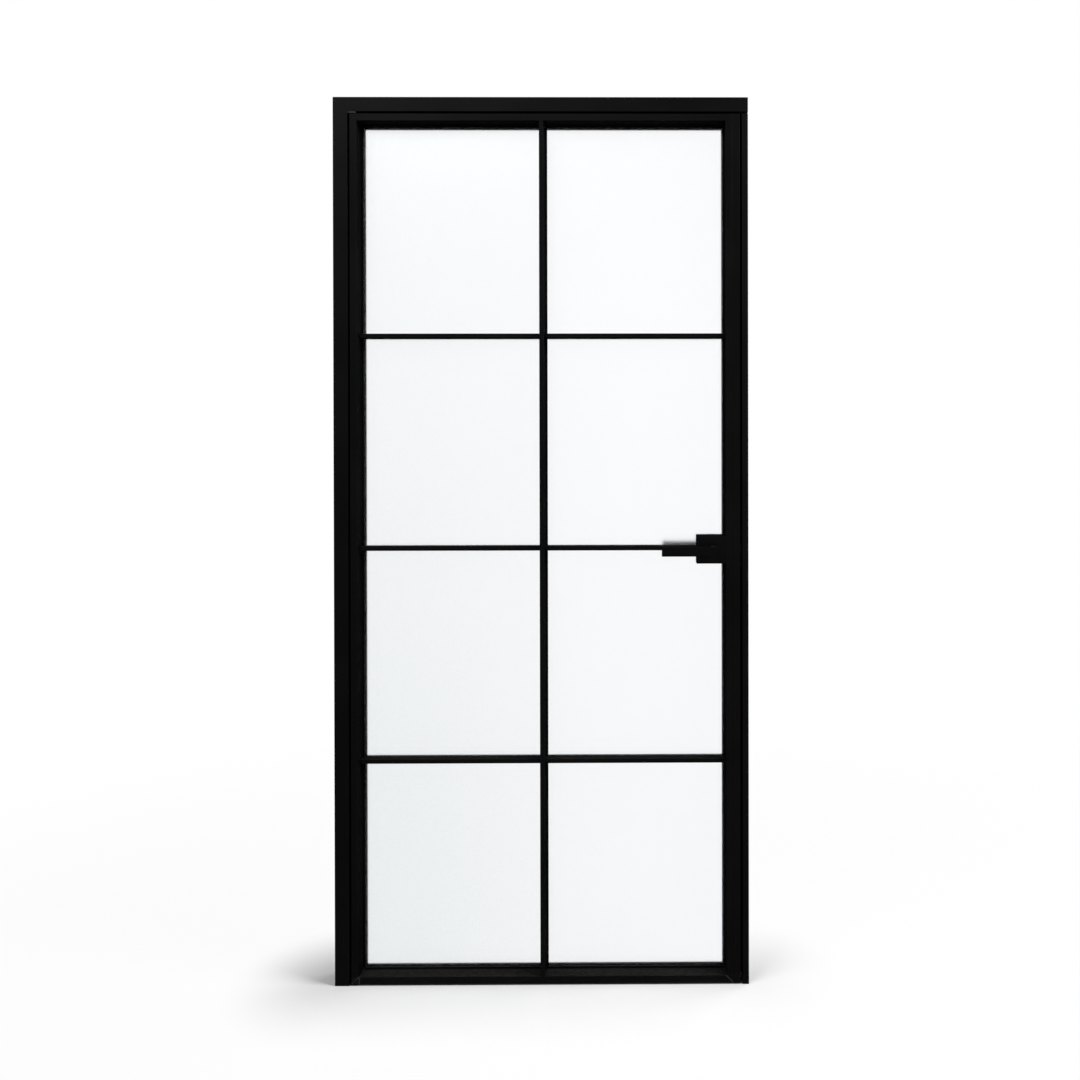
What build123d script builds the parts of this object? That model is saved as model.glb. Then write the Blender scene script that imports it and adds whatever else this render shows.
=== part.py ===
from build123d import *
import math
import os

# A slim steel-framed glass door in its own frame: one leaf with eight panes,
# hung on pivots at its left edge, with a lever latch in a box at its right edge.
# +X runs to the right seen from the front, +Z up, and the front faces -Y.
# The origin is on the floor, in the middle of the frame, on the leaf's middle plane.

# Outer frame
frame_width = 1003.0
frame_height = 2150.0
frame_depth = 65.0
jamb_face = 35.0
strike_face = 15.0
frame_wall = 2.0
frame_corner_radius = 1.0

# Leaf
leaf_depth = 50.0
leaf_gap = 5.0
floor_gap = 4.0
stile_face = 17.0
leaf_wall = 1.8
edge_strip_face = 18.0
leaf_corner_radius = 0.8
mitre_gap = 0.1
snug = 0.2

# Glazing bars and panes
rows = 4
bar_face = 10.0
bar_wall = 1.5
bar_web = 3.0
transom_setback = 12.0
glass_thickness = 6.0
tape_thickness = 1.0
tape_width = 3.0
fin_width = 5.0
fin_thickness = 3.0
bead_depth = 5.0
bead_face = 8.0
bead_tongue = 0.8
web_grip = 2.5
rail_to_pane = 2.0
web_to_pane = 1.0

# Door stop behind the leaf
stop_face = 20.0
stop_depth = 12.0
stop_gap = 3.0
stop_wall = 1.5
seal_width = 5.0
seal_stem = 2.0
seal_stem_length = 2.2
seal_barb = 3.6
seal_barb_length = 2.5
seal_inset = 14.0
seal_clearance = 0.3

# Pivots at the hinge edge
pivot_inset = 8.5
pivot_from_front = 7.5
pivot_pin_radius = 3.0
pivot_bush_radius = 5.0
pivot_clearance = 0.05
pivot_pin_length = 24.0
pivot_plate_length = 20.0
pivot_plate_depth = 44.0
pivot_plate_thickness = 2.5
bracket_height = 60.0
cleat_arm = 70.0
cleat_slot = 24.0

# Lock box, latch and levers
lock_box_width = 71.0
lock_box_height = 67.0
lock_drop = 2.5
lock_box_wall = 2.5
lock_front_wall = 3.0
cover_proud = 2.0
rear_cover_thickness = 3.0
rear_cover_seat = 1.5
lock_step = 3.5
hub_from_edge = 66.0
hub_journal_radius = 7.0
hub_collar_radius = 9.0
hub_collar_length = 16.0
bush_wall = 2.5
spindle_size = 8.0
finger_width = 4.0
finger_depth = 5.0
finger_reach = 15.5
latch_height = 17.0
latch_depth = 12.0
latch_throw = 11.0
latch_clearance = 0.25
latch_tail_low = 10.0
latch_tail_high = 20.0
sleeve_wall = 1.5
spring_wire = 0.9
spring_radius = 3.6
spring_turns = 6
forend_length = 110.0
forend_depth = 22.0
forend_thickness = 1.5
strike_length = 100.0
strike_depth = 26.0
strike_thickness = 2.0
neck_radius = 8.5
neck_length = 34.0
grip_length = 132.0
grip_height = 23.0
grip_thickness = 9.0
grip_past_neck = 8.5
grip_edge_radius = 1.5
turning_gap = 0.3

# Screws and wall fixings
screw_radius = 2.0
screw_head_radius = 4.0
screw_head_height = 2.2
screw_socket = 2.5
screw_clearance = 0.1
wall_hole_radius = 3.5
wall_hole_inset = 250.0
wall_hole_count = 4

# Places along X, from the hinge side to the lock side
frame_left = -frame_width / 2
frame_right = frame_width / 2
leaf_left = frame_left + jamb_face + leaf_gap
leaf_right = frame_right - strike_face - leaf_gap
strip_left = leaf_right - edge_strip_face
field_left = leaf_left + stile_face
field_right = strip_left - stile_face
mullion_x = (field_left + field_right) / 2
pivot_x = leaf_left + pivot_inset
hub_x = leaf_right - hub_from_edge
lock_left = field_right - lock_box_width

# Places along Y
leaf_front = -leaf_depth / 2
leaf_back = leaf_depth / 2
frame_back = leaf_front + frame_depth
stop_front = leaf_back + stop_gap
bead_front = leaf_back - bead_depth
glass_back = bead_front - tape_thickness
glass_front = glass_back - glass_thickness
fin_back = glass_front - tape_thickness
fin_front = fin_back - fin_thickness
transom_front = leaf_front + transom_setback
pivot_y = leaf_front + pivot_from_front
corner_reach = math.hypot(pivot_inset, leaf_back - pivot_y)
corner_rise = corner_reach - (leaf_back - pivot_y)
cover_front = leaf_front - cover_proud
cover_back = leaf_back + cover_proud
rear_cover_inside = cover_back - rear_cover_thickness

# Places along Z
head_bottom = frame_height - jamb_face
leaf_top = head_bottom - leaf_gap
leaf_bottom = floor_gap
field_bottom = leaf_bottom + stile_face
field_top = leaf_top - stile_face
row_height = (field_top - field_bottom) / rows
bar_heights = [field_bottom + row_height * n for n in range(1, rows)]
lock_bar_z = bar_heights[1]
lock_z = lock_bar_z - lock_drop

LEFT = (-1, 0, 0)
RIGHT = (1, 0, 0)
FRONT = (0, -1, 0)
BACK = (0, 1, 0)
DOWN = (0, 0, -1)
UP = (0, 0, 1)


# Helpers

def span_box(x, y, z):
    """A box between two places along each axis."""
    middle = [(low + high) / 2 for low, high in (x, y, z)]
    size = [high - low for low, high in (x, y, z)]
    return Pos(*middle) * Box(*size)


def section(across, depth, radius=0.0):
    """A rectangle in a profile's cross-section, with rounded corners."""
    middle = (sum(across) / 2, sum(depth) / 2)
    face = Pos(*middle) * Rectangle(across[1] - across[0], depth[1] - depth[0])
    return fillet(face.vertices(), radius) if radius else face


def rod(radius, low, high):
    """A round bar along the local Z axis."""
    base = (Align.CENTER, Align.CENTER, Align.MIN)
    return Pos(0, 0, low) * Cylinder(radius, high - low, align=base)


def placed(shape, origin, across, along):
    """Moves a shape made along local Z so that its X axis points across and its Z along."""
    return Plane(origin=origin, x_dir=across, z_dir=along) * shape


def facing(shape, origin, direction):
    """Moves a round shape made along local Z to a point, turned to a direction."""
    return Plane(origin=origin, z_dir=direction) * shape


def profile(face, length, start_mitre=False, end_mitre=False):
    """A length of profile from its section, with mitred ends where asked."""
    solid = extrude(face, length)
    back_off = mitre_gap / 2 * math.sqrt(2)
    if start_mitre:
        solid = split(solid, Plane((0, 0, back_off), z_dir=(-1, 0, 1)), keep=Keep.TOP)
    if end_mitre:
        solid = split(solid, Plane((0, 0, length - back_off), z_dir=(-1, 0, -1)), keep=Keep.TOP)
    return solid


def countersink(grow=0.0):
    """The head of a countersunk screw, its flat top at the local origin, pointing down."""
    head = Cone(screw_radius + grow, screw_head_radius + grow, screw_head_height)
    return Pos(0, 0, -screw_head_height / 2) * head


def screw(length):
    """A countersunk screw with a hexagon socket."""
    shank = rod(screw_radius - screw_clearance / 2, -length, -screw_head_height)
    socket = Pos(0, 0, -screw_head_height * 0.6) * extrude(
        RegularPolygon(screw_socket / 2, 6), screw_head_height
    )
    return shank + countersink() - socket


def screw_cut(length):
    """What is cut away for a countersunk screw: its head and a threaded hole."""
    return rod(screw_radius, -length, -screw_head_height / 2) + countersink(screw_clearance)


def group(solids):
    """Separate solids of one kind in one node."""
    return Compound(children=[s for shape in solids for s in shape.solids()])


# Tubes of the outer frame

def frame_tube_section(face_width):
    """Tube of the outer frame, from its outer edge inwards and from front to back."""
    outer = section((0, face_width), (leaf_front, frame_back), frame_corner_radius)
    inner = section(
        (frame_wall, face_width - frame_wall),
        (leaf_front + frame_wall, frame_back - frame_wall),
    )
    return outer - inner


wall_hole_span = frame_height - 2 * wall_hole_inset
wall_hole_heights = [
    wall_hole_inset + wall_hole_span * n / (wall_hole_count - 1) for n in range(wall_hole_count)
]


def wall_holes(face_width, low_x):
    """Holes through both walls of a jamb for the screws into the wall."""
    reach = face_width + frame_wall
    return [
        facing(rod(wall_hole_radius, -frame_wall, reach), (low_x, 0, z), RIGHT)
        for z in wall_hole_heights
    ]


bracket_edge = 12.0
bracket_screw_length = 12.0
bracket_screw_drops = (12.0, 32.0)
plate_screw_pitch = 14.0
plate_setback = 1.0
bracket_face_x = leaf_left - leaf_gap + pivot_plate_thickness
plate_x = (leaf_left - leaf_gap, leaf_left - leaf_gap + pivot_plate_length)
plate_y = (leaf_front + plate_setback, leaf_front + plate_setback + pivot_plate_depth)


def bracket_screw_places():
    """Screws of the floor bracket, up its upright on the hinge jamb."""
    y = plate_y[1] - bracket_edge
    return [(bracket_face_x, y, bracket_height - drop) for drop in bracket_screw_drops]


def hinge_jamb():
    jamb = profile(frame_tube_section(jamb_face), frame_height, end_mitre=True)
    jamb = placed(jamb, (frame_left, 0, 0), RIGHT, UP)
    jamb -= wall_holes(jamb_face, frame_left)
    jamb -= [facing(screw_cut(bracket_screw_length), p, RIGHT) for p in bracket_screw_places()]
    return jamb


def head_screw_places():
    """Screws up through the top pivot plate into the head."""
    low = head_bottom - pivot_plate_thickness
    last_y = plate_y[1] - bracket_edge / 2
    return [(sum(plate_x) / 2, y, low) for y in (last_y - plate_screw_pitch, last_y)]


head_end_plate_thickness = 2.0


def head():
    length = frame_width - head_end_plate_thickness
    tube = profile(frame_tube_section(jamb_face), length, start_mitre=True)
    tube = placed(tube, (frame_left, 0, frame_height), DOWN, RIGHT)
    tube -= [facing(screw_cut(bracket_screw_length), p, DOWN) for p in head_screw_places()]
    tube -= facing(rod(pivot_pin_radius, -frame_wall - 1, 1), (pivot_x, pivot_y, head_bottom), DOWN)
    tube -= [facing(rod(screw_radius, -1, frame_wall + 1), p, UP) for p in connector_screw_places()]
    return tube


def head_end_plate():
    """Plate welded over the open right end of the head."""
    face = section((0, jamb_face), (leaf_front, frame_back), frame_corner_radius)
    start = (frame_right - head_end_plate_thickness, 0, frame_height)
    return placed(extrude(face, head_end_plate_thickness), start, DOWN, RIGHT)


notch_depth = 25.0


def strike_jamb():
    """The narrow post at the latch side. Its front stops a shadow gap short of the head."""
    post = profile(frame_tube_section(strike_face), head_bottom)
    post = placed(post, (frame_right, 0, head_bottom), LEFT, DOWN)
    post -= span_box(
        (frame_right - strike_face - 1, frame_right + 1),
        (leaf_front - 1, leaf_front + notch_depth),
        (leaf_top, head_bottom + 1),
    )
    post -= wall_holes(strike_face, frame_right - strike_face)
    mouth = latch_clearance * 4
    post -= span_box(
        (frame_right - strike_face - 1, frame_right - strike_face + frame_wall + 1),
        (-latch_depth / 2 - mouth, latch_depth / 2 + mouth),
        (lock_z - latch_height / 2 - mouth, lock_z + latch_height / 2 + mouth),
    )
    post -= [facing(screw_cut(strike_screw_length), p, LEFT) for p in strike_screw_places()]
    return post


connector_depth_below = 60.0
connector_screw_length = 30.0
connector_screw_y = (7.5, 28.0)


def connector_screw_places():
    """Screws down through the head's lower wall into the block in the strike jamb."""
    x = frame_right - strike_face / 2
    return [(x, y, head_bottom) for y in connector_screw_y]


def strike_jamb_connector():
    """Block in the top of the strike jamb that carries it under the head."""
    x = (frame_right - strike_face + frame_wall + snug, frame_right - frame_wall - snug)
    y = (leaf_front + frame_wall + snug, frame_back - frame_wall - snug)
    block = span_box(x, y, (head_bottom - connector_depth_below, head_bottom))
    block -= span_box(
        (x[0] - 1, x[1] + 1), (y[0] - 1, leaf_front + notch_depth), (leaf_top, head_bottom + 1)
    )
    holes = [
        facing(rod(screw_radius, -1, connector_screw_length + 2), p, DOWN)
        for p in connector_screw_places()
    ]
    return block - holes


def connector_screws():
    """Pan-head screws inside the head, down into the connector block."""
    pan = rod(screw_head_radius, frame_wall, frame_wall + screw_head_height)
    pan = fillet(pan.edges().sort_by(Axis.Z)[-1], screw_head_height * 0.4)
    shank = rod(screw_radius - screw_clearance / 2, -connector_screw_length, frame_wall)
    return group([facing(pan + shank, p, UP) for p in connector_screw_places()])


def corner_cleat(inner_width, inner_depth, corner, across_x, across_z, depth_middle):
    """Solid angle that fills the two tubes of a mitred corner and holds them square."""
    size = inner_width - 2 * snug
    x_run = (corner[0], corner[0] + across_x * cleat_arm)
    z_run = (corner[1], corner[1] + across_z * cleat_arm)
    y_run = (depth_middle - inner_depth / 2 + snug, depth_middle + inner_depth / 2 - snug)
    x_thin = (corner[0], corner[0] + across_x * size)
    z_thin = (corner[1], corner[1] + across_z * size)
    flat = span_box(sorted(x_run), y_run, sorted(z_thin))
    upright = span_box(sorted(x_thin), y_run, sorted(z_run))
    return flat + upright


def frame_corner_cleat():
    inner = jamb_face - 2 * frame_wall
    corner = (frame_left + frame_wall + snug, frame_height - frame_wall - snug)
    middle = (leaf_front + frame_back) / 2
    cleat = corner_cleat(inner, frame_depth - 2 * frame_wall, corner, 1, -1, middle)
    return cleat - [facing(screw_cut(bracket_screw_length), p, DOWN) for p in head_screw_places()]


# Door stops and their seals

def stop_section():
    """Slotted tube of the stop: from the jamb inwards and from front to back."""
    outer = section((0, stop_face), (stop_front, stop_front + stop_depth), frame_corner_radius / 2)
    inner = section(
        (stop_wall, stop_face - stop_wall),
        (stop_front + stop_wall, stop_front + stop_depth - stop_wall),
    )
    half_slot = seal_stem / 2 + snug
    slot = section(
        (seal_inset + seal_width / 2 - half_slot, seal_inset + seal_width / 2 + half_slot),
        (stop_front - 1, stop_front + stop_wall + 1),
    )
    return outer - inner - slot


def seal_section(clearance=seal_clearance):
    """Rubber seal: a rounded lip towards the leaf, a stem through the slot and a barb behind."""
    middle = seal_inset + seal_width / 2
    lip_height = stop_gap - clearance
    lip = section(
        (seal_inset, seal_inset + seal_width),
        (stop_front - lip_height, stop_front),
    )
    lip = fillet(lip.vertices().group_by(Axis.Y)[0], lip_height * 0.6)
    half_stem = seal_stem / 2
    stem = section((middle - half_stem, middle + half_stem), (stop_front, stop_front + seal_stem_length))
    barb_front = stop_front + stop_wall + snug / 2
    barb = Polyline(
        (middle - seal_barb / 2, barb_front),
        (middle + seal_barb / 2, barb_front),
        (middle + half_stem / 2, barb_front + seal_barb_length),
        (middle - half_stem / 2, barb_front + seal_barb_length),
        close=True,
    )
    return lip + stem + make_face(barb)


side_length = head_bottom - stop_face


def along_hinge_jamb(face):
    return placed(extrude(face, side_length), (leaf_left - leaf_gap, 0, 0), RIGHT, UP)


def along_strike_jamb(face):
    return placed(extrude(face, side_length), (leaf_right + leaf_gap, 0, side_length), LEFT, DOWN)


def along_head(face, start, end):
    solid = extrude(face, end - start)
    return placed(solid, (start, 0, head_bottom), DOWN, RIGHT)


def hinge_stop():
    return along_hinge_jamb(stop_section())


def strike_stop():
    return along_strike_jamb(stop_section())


def head_stop():
    return along_head(stop_section(), leaf_left - leaf_gap, leaf_right + leaf_gap)


def side_seals():
    """The hinge side's lip is lower, so that the leaf's rear corner turns past it."""
    low_lip = seal_section(corner_rise + seal_clearance / 2)
    return group([along_hinge_jamb(low_lip), along_strike_jamb(seal_section())])


def head_seal():
    """The head's seal starts where the turning corner has dropped to the leaf's own face."""
    start = pivot_x + pivot_inset
    end = leaf_right + leaf_gap - stop_wall
    return along_head(seal_section(), start, end)


# Leaf profiles

def stile_section():
    """Tube of the leaf with the fin that the glass is bedded on, and a groove for the bead."""
    outer = section((0, stile_face), (leaf_front, leaf_back), leaf_corner_radius)
    inner = section(
        (leaf_wall, stile_face - leaf_wall), (leaf_front + leaf_wall, leaf_back - leaf_wall)
    )
    fin = section((stile_face - 0.5, stile_face + fin_width), (fin_front, fin_back))
    groove_half = bead_tongue / 2 + snug / 2
    bead_middle = (bead_front + leaf_back) / 2
    groove = section(
        (stile_face - bead_tongue - snug / 2, stile_face + 0.5),
        (bead_middle - groove_half, bead_middle + groove_half),
    )
    return outer + fin - inner - groove


def leaf_height():
    return leaf_top - leaf_bottom


def pivot_hole(radius, depth, start, direction):
    """A round cut along the pivot axis, from a height in a direction."""
    return facing(rod(radius, -1, depth), (pivot_x, pivot_y, start), direction)


def hinge_stile():
    stile = profile(stile_section(), leaf_height(), start_mitre=True, end_mitre=True)
    return placed(stile, (leaf_left, 0, leaf_bottom), RIGHT, UP)


def latch_tunnel(grow):
    """The way of the latch's guide sleeve through the lock stile and the edge strip."""
    half_depth = latch_depth / 2 + latch_clearance + sleeve_wall + grow
    half_height = latch_height / 2 + latch_clearance + sleeve_wall + grow
    return span_box(
        (field_right - lock_box_wall - 1, leaf_right + 1),
        (-half_depth, half_depth),
        (lock_z - half_height, lock_z + half_height),
    )


def lock_stile():
    stile = profile(stile_section(), leaf_height(), start_mitre=True, end_mitre=True)
    stile = placed(stile, (strip_left, 0, leaf_top), LEFT, DOWN)
    half_box = lock_box_height / 2 + snug
    stile -= latch_tunnel(snug)
    stile -= span_box(
        (field_right - fin_width - 1, field_right),
        (leaf_front - 1, leaf_back + 1),
        (lock_z - half_box, lock_z + half_box),
    )
    return stile


def top_rail():
    rail = profile(stile_section(), strip_left - leaf_left, start_mitre=True, end_mitre=True)
    rail = placed(rail, (leaf_left, 0, leaf_top), DOWN, RIGHT)
    return rail - pivot_hole(pivot_bush_radius + snug, leaf_wall + 1, leaf_top, DOWN)


brush_slot = 4.0


def bottom_rail():
    rail = profile(stile_section(), strip_left - leaf_left, start_mitre=True, end_mitre=True)
    rail = placed(rail, (strip_left, 0, leaf_bottom), UP, LEFT)
    rail -= pivot_hole(pivot_bush_radius + snug, leaf_wall + 1, leaf_bottom, UP)
    rail -= span_box(
        brush_run,
        (-brush_slot / 2, brush_slot / 2),
        (leaf_bottom - 1, leaf_bottom + leaf_wall + 0.01),
    )
    return rail


def edge_strip():
    """Closing tube on the lock side. Its front corner and the stile's leave a fine groove."""
    outer = section((0, edge_strip_face), (leaf_front, leaf_back), leaf_corner_radius)
    inner = section(
        (leaf_wall, edge_strip_face - leaf_wall), (leaf_front + leaf_wall, leaf_back - leaf_wall)
    )
    strip = extrude(outer - inner, leaf_height())
    strip = placed(strip, (leaf_right, 0, leaf_top), LEFT, DOWN)
    strip -= latch_tunnel(snug)
    strip -= [facing(screw_cut(forend_screw_length), p, RIGHT) for p in forend_screw_places()]
    return strip


strip_cap_thickness = 3.0


def edge_strip_caps():
    """Plates that close the two open ends of the edge strip."""
    inner = (strip_left + leaf_wall + snug, leaf_right - leaf_wall - snug)
    depth = (leaf_front + leaf_wall + snug, leaf_back - leaf_wall - snug)
    low = span_box(inner, depth, (leaf_bottom, leaf_bottom + strip_cap_thickness))
    high = span_box(inner, depth, (leaf_top - strip_cap_thickness, leaf_top))
    return group([low, high])


cleat_slot_end = 8.0


def leaf_cleat_at(across_x, across_z):
    """Corner angle inside the leaf's tubes, with a slot that lightens each arm."""
    x = leaf_left + leaf_wall + snug if across_x > 0 else strip_left - leaf_wall - snug
    z = leaf_bottom + leaf_wall + snug if across_z > 0 else leaf_top - leaf_wall - snug
    inner = stile_face - 2 * leaf_wall
    cleat = corner_cleat(inner, leaf_depth - 2 * leaf_wall, (x, z), across_x, across_z, 0)
    far = cleat_arm - cleat_slot_end
    near = far - cleat_slot
    slot_depth = (-leaf_depth / 5, leaf_depth / 5)
    cleat -= span_box(
        sorted((x + across_x * near, x + across_x * far)), slot_depth,
        sorted((z - across_z, z + across_z * stile_face)),
    )
    cleat -= span_box(
        sorted((x - across_x, x + across_x * stile_face)), slot_depth,
        sorted((z + across_z * near, z + across_z * far)),
    )
    return cleat


def leaf_corner_cleats():
    """The two plain angles at the lock side."""
    return group([leaf_cleat_at(-1, 1), leaf_cleat_at(-1, -1)])


pivot_bush_length = 30.0


def top_pivot_block():
    """The angle in the top hinge corner, bored for the upper pivot's bush."""
    return leaf_cleat_at(1, -1) - pivot_hole(pivot_bush_radius, pivot_bush_length + 1, leaf_top, DOWN)


def bottom_pivot_block():
    return leaf_cleat_at(1, 1) - pivot_hole(pivot_bush_radius, pivot_bush_length + 1, leaf_bottom, UP)


def pivot_blocks():
    """The two bored angles at the hinge side."""
    return group([top_pivot_block(), bottom_pivot_block()])


def pivot_bush():
    """Nylon bush that turns on a pivot pin, its mouth at the local origin, running up."""
    bush = rod(pivot_bush_radius - snug / 10, 0, pivot_bush_length)
    return bush - rod(pivot_pin_radius + pivot_clearance, -1, pivot_pin_length + 1)


def pivot_bushes():
    upper = facing(pivot_bush(), (pivot_x, pivot_y, leaf_top), DOWN)
    lower = facing(pivot_bush(), (pivot_x, pivot_y, leaf_bottom), UP)
    return group([upper, lower])


def pivot_pin(seat, mouth_gap):
    """Hardened pin: a shank in its plate and a round-nosed end in the bush."""
    length = mouth_gap + pivot_pin_length - 1
    pin = rod(pivot_pin_radius, -seat, length)
    return chamfer(pin.edges().sort_by(Axis.Z)[-1], pivot_pin_radius / 3)


def pivot_pins():
    upper = facing(pivot_pin(frame_wall, leaf_gap), (pivot_x, pivot_y, head_bottom), DOWN)
    lower = facing(pivot_pin(0, floor_gap), (pivot_x, pivot_y, 0), UP)
    return group([upper, lower])


def top_pivot_plate():
    """Steel plate screwed under the head, with a hole for the upper pin."""
    plate = span_box(plate_x, plate_y, (head_bottom - pivot_plate_thickness, head_bottom))
    plate = fillet(plate.edges().filter_by(Axis.Z), 2)
    plate -= facing(rod(pivot_pin_radius, -1, leaf_gap), (pivot_x, pivot_y, head_bottom), DOWN)
    plate -= [facing(screw_cut(bracket_screw_length), p, DOWN) for p in head_screw_places()]
    return plate


def floor_bracket():
    """Angle on the hinge jamb whose foot carries the lower pin, just off the leaf's corner."""
    foot = span_box(plate_x, plate_y, (0, pivot_plate_thickness))
    upright = span_box(
        (plate_x[0], bracket_face_x), (pivot_y + bracket_edge, plate_y[1]), (0, bracket_height)
    )
    bracket = foot + upright
    bracket -= facing(rod(pivot_pin_radius, -1, floor_gap), (pivot_x, pivot_y, 0), UP)
    bracket -= [facing(screw_cut(bracket_screw_length), p, RIGHT) for p in bracket_screw_places()]
    return bracket


def frame_screws():
    """Countersunk screws of both pivot plates and of the strike plate."""
    upper = [facing(screw(bracket_screw_length), p, DOWN) for p in head_screw_places()]
    lower = [facing(screw(bracket_screw_length), p, RIGHT) for p in bracket_screw_places()]
    strike = [facing(screw(strike_screw_length), p, LEFT) for p in strike_screw_places()]
    return group(upper + lower + strike)


cleat_room = leaf_wall + snug + cleat_arm + 1
brush_run = (leaf_left + cleat_room, strip_left - cleat_room)
brush_carrier_height = 5.0
brush_carrier_lip = 1.5
brush_off_floor = 1.0


def bottom_brush():
    """Brush strip in the bottom rail that closes the gap at the floor."""
    x = (brush_run[0] + snug, brush_run[1] - snug)
    half_slot = brush_slot / 2
    half_carrier = half_slot + brush_carrier_lip
    carrier_bottom = leaf_bottom + leaf_wall + snug / 2
    carrier = span_box(
        x, (-half_carrier, half_carrier), (carrier_bottom, carrier_bottom + brush_carrier_height)
    )
    pile = span_box(x, (-half_slot + snug, half_slot - snug), (brush_off_floor, carrier_bottom + 1))
    return carrier + pile


# Glazing bars

def bar_nose(front, flange=0.0):
    """Hollow nose of a glazing bar, across its face and from front to back, with its flanges."""
    outer = section((-bar_face / 2, bar_face / 2), (front, fin_back), leaf_corner_radius / 2)
    if flange:
        outer += section((-bar_face / 2 - flange, bar_face / 2 + flange), (fin_front, fin_back))
    half = bar_face / 2 - bar_wall
    return outer - section((-half, half), (front + bar_wall, fin_back - bar_wall))


def bar_web_section():
    """Web that parts two panes and holds the clipped cap behind them."""
    return section((-bar_web / 2, bar_web / 2), (fin_back, bead_front + web_grip))


def end_cope(at, inward, sideways, upright):
    """Cut where a bar's end meets a rail or stile: room for its fin, and for its bead."""
    fin_room = (sorted((at, at + inward * (fin_width + snug))), (fin_front - snug, fin_back))
    bead_room = (sorted((at, at + inward * (bead_face + snug))), (bead_front - snug, leaf_back))
    return [
        span_box(sideways, depth, along) if upright else span_box(along, depth, sideways)
        for along, depth in (fin_room, bead_room)
    ]


mullion_reach = bar_face / 2 + fin_width


def mullion():
    """Upright bar, in one length from rail to rail, with a flange in front of each pane."""
    length = field_top - field_bottom
    bar = extrude(bar_nose(leaf_front, fin_width), length) + extrude(bar_web_section(), length)
    bar = placed(bar, (mullion_x, 0, field_bottom), RIGHT, UP)
    sideways = (mullion_x - mullion_reach - 1, mullion_x + mullion_reach + 1)
    bar -= end_cope(field_bottom, 1, sideways, upright=True)
    bar -= end_cope(field_top, -1, sideways, upright=True)
    return bar


web_overlap = (bar_face - bar_web) / 2


def cross_bar(z, nose_run, web_run):
    """Nose and web of a level bar, which is shallower than the mullion and coped round it."""
    nose = extrude(bar_nose(transom_front), nose_run[1] - nose_run[0])
    web = extrude(bar_web_section(), web_run[1] - web_run[0])
    bar = placed(nose, (nose_run[0], 0, z), DOWN, RIGHT)
    bar += placed(web, (web_run[0], 0, z), DOWN, RIGHT)
    for half, depth in (
        (bar_face / 2 + snug, (bead_front - snug, leaf_back)),
        (mullion_reach + snug, (fin_front - snug, fin_back)),
    ):
        bar -= span_box((mullion_x - half, mullion_x + half), depth, (z - bar_face, z + bar_face))
    return bar


def left_transom(z):
    end = mullion_x - bar_face / 2
    bar = cross_bar(z, (field_left, end), (field_left, end + web_overlap))
    return bar - end_cope(field_left, 1, (z - bar_face, z + bar_face), upright=False)


def right_transom(z):
    start = mullion_x + bar_face / 2
    bar = cross_bar(z, (start, field_right), (start - web_overlap, field_right))
    return bar - end_cope(field_right, -1, (z - bar_face, z + bar_face), upright=False)


def left_transoms():
    """The three cross bars on the hinge side."""
    return group([left_transom(z) for z in bar_heights])


def right_transoms():
    """The cross bars on the lock side that run through to the lock stile."""
    return group([right_transom(z) for z in bar_heights if z != lock_bar_z])


def lock_transom():
    """The middle right bar, cut short where it meets the lock box."""
    start = mullion_x + bar_face / 2
    bar = cross_bar(lock_bar_z, (start, lock_left), (start - web_overlap, lock_left + lock_step))
    return bar - span_box(
        (lock_left - snug, lock_left + 2 * lock_step),
        (bead_front - snug, leaf_back),
        (lock_bar_z - bar_face, lock_bar_z + bar_face),
    )


def cap_section():
    """Cap clipped on a bar's web behind the glass."""
    cap = section((-bar_face / 2, bar_face / 2), (bead_front, leaf_back), leaf_corner_radius / 2)
    half_grip = bar_web / 2 + snug / 2
    return cap - section((-half_grip, half_grip), (bead_front - 1, bead_front + web_grip + snug))


def transom_cap(z, left, right):
    return placed(extrude(cap_section(), right - left), (left, 0, z), DOWN, RIGHT)


def bar_caps():
    """The mullion's cap in one length, and the cross bars' caps butted to it."""
    low = field_bottom + bead_face
    length = field_top - bead_face - low
    caps = [placed(extrude(cap_section(), length), (mullion_x, 0, low), RIGHT, UP)]
    for z in bar_heights:
        right_end = lock_left if z == lock_bar_z else field_right - bead_face
        caps.append(transom_cap(z, field_left + bead_face, mullion_x - bar_face / 2))
        caps.append(transom_cap(z, mullion_x + bar_face / 2, right_end))
    return group(caps)


# Beads round the field

def bead_section():
    """Glazing bead with a tongue that snaps into the profile's groove."""
    bead = section((stile_face, stile_face + bead_face), (bead_front, leaf_back), leaf_corner_radius / 2)
    middle = (bead_front + leaf_back) / 2
    tongue = section(
        (stile_face - bead_tongue, stile_face + 0.5), (middle - bead_tongue / 2, middle + bead_tongue / 2)
    )
    return bead + tongue


def side_beads():
    """Upright beads. The lock side's is in two lengths, above and below the lock box."""
    bead = profile(bead_section(), leaf_height(), start_mitre=True, end_mitre=True)
    left = placed(bead, (leaf_left, 0, leaf_bottom), RIGHT, UP)
    right = placed(bead, (strip_left, 0, leaf_top), LEFT, DOWN)
    half_box = lock_box_height / 2 + snug
    right -= span_box(
        (field_right - bead_face - 1, field_right + 1 + bead_tongue),
        (bead_front - 1, leaf_back + 1),
        (lock_z - half_box, lock_z + half_box),
    )
    return group([left, right])


def rail_beads():
    """Level beads at the head and foot of the leaf."""
    bead = profile(bead_section(), strip_left - leaf_left, start_mitre=True, end_mitre=True)
    upper = placed(bead, (leaf_left, 0, leaf_top), DOWN, RIGHT)
    lower = placed(bead, (strip_left, 0, leaf_bottom), UP, LEFT)
    return group([upper, lower])


# Panes and the tape they are bedded on

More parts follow.
